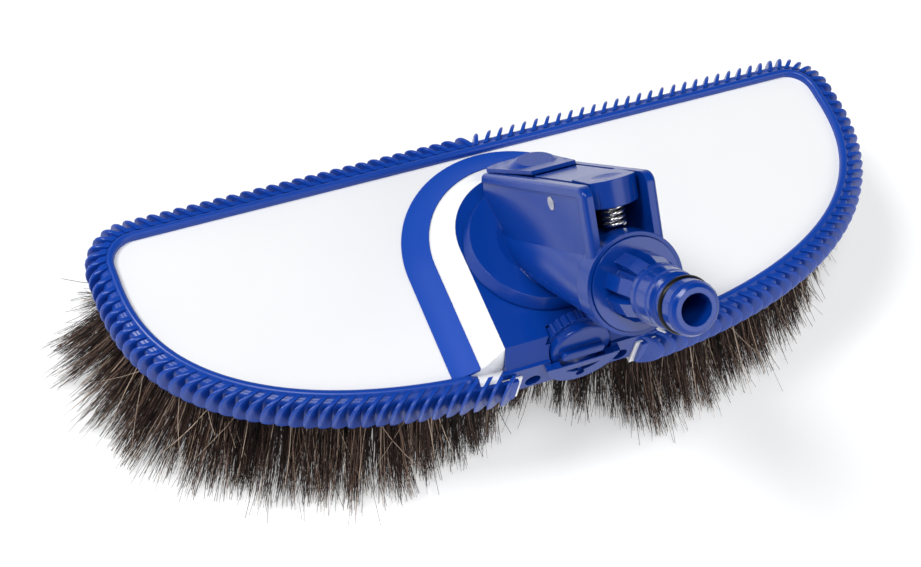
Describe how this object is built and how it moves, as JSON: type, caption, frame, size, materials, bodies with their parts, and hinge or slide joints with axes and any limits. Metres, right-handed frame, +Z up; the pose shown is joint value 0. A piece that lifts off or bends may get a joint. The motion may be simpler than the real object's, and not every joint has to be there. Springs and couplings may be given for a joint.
{
  "type": "water-fed pool wall brush head",
  "caption": "Blue and white water-fed scrubbing brush head, D-shaped, with dark hair, a finned bumper, a hose nipple on a turning arm and a flow dial.",
  "frame": {"origin": "on the plane the bristle tips stand on, under the middle of the whole brush", "axes": "+Z up out of the head, +X along the head, -Y towards the hose end"},
  "size_m": [0.2936, 0.137, 0.1342],
  "materials": {
    "white_plastic": "gloss",
    "stripe_blue": "gloss",
    "blue_plastic": "satin",
    "stem_blue": "satin",
    "lever_blue": "satin",
    "dial_blue": "satin",
    "soft_blue": "matte",
    "board_plastic": "matte",
    "washer_plastic": "satin",
    "seal_rubber": "satin",
    "steel": "bright",
    "hair": "fibrous"
  },
  "bodies": {
    "head": {"top_plate": "white_plastic", "centre_stripe": "stripe_blue", "bumper": "soft_blue", "bristle_board": "board_plastic", "chamber_gasket": "seal_rubber", "swivel_base": "blue_plastic", "glide_washer": "washer_plastic", "board_screws": "steel", "base_screws": "steel", "front_tufts_left": "hair", "front_tufts_right": "hair", "back_tufts_left": "hair", "back_tufts_right": "hair", "inner_tufts_left": "hair", "inner_tufts_right": "hair"},
    "arm": {"arm_housing": "blue_plastic", "pivot_seal": "seal_rubber", "retaining_ring": "washer_plastic", "hose_stem": "stem_blue", "stem_seal": "seal_rubber", "nipple_seal": "seal_rubber", "lever_pin": "steel", "lever_spring": "steel"},
    "lever": {"release_lever": "lever_blue"},
    "cover": {"rear_cover": "blue_plastic"},
    "dial": {"flow_dial": "dial_blue", "dial_seal": "seal_rubber", "dial_clip": "steel"}
  },
  "joints": [
    {"name": "swivel_turn", "type": "hinge", "parent": "head", "child": "arm", "pos_m": [0, 0.0116, 0.06], "axis": [0, 0, 1], "range_deg": [-90, 90]},
    {"name": "lever_press", "type": "hinge", "parent": "arm", "child": "lever", "pos_m": [0, -0.00342, 0.10294], "axis": [1, 0, 0], "range_deg": [0, 5], "stiffness_Nm_per_rad": 0.15, "springref_deg": -5.73, "deforming": ["lever_spring"]},
    {"name": "cover_slide", "type": "slide", "parent": "arm", "child": "cover", "axis": [0, 0.6591, -0.752], "range_m": [0, 0.012]},
    {"name": "dial_turn", "type": "hinge", "parent": "head", "child": "dial", "pos_m": [0, -0.0253, 0.0488], "axis": [0, -0.9903, 0.1392], "range_deg": [0, 90]}
  ]
}
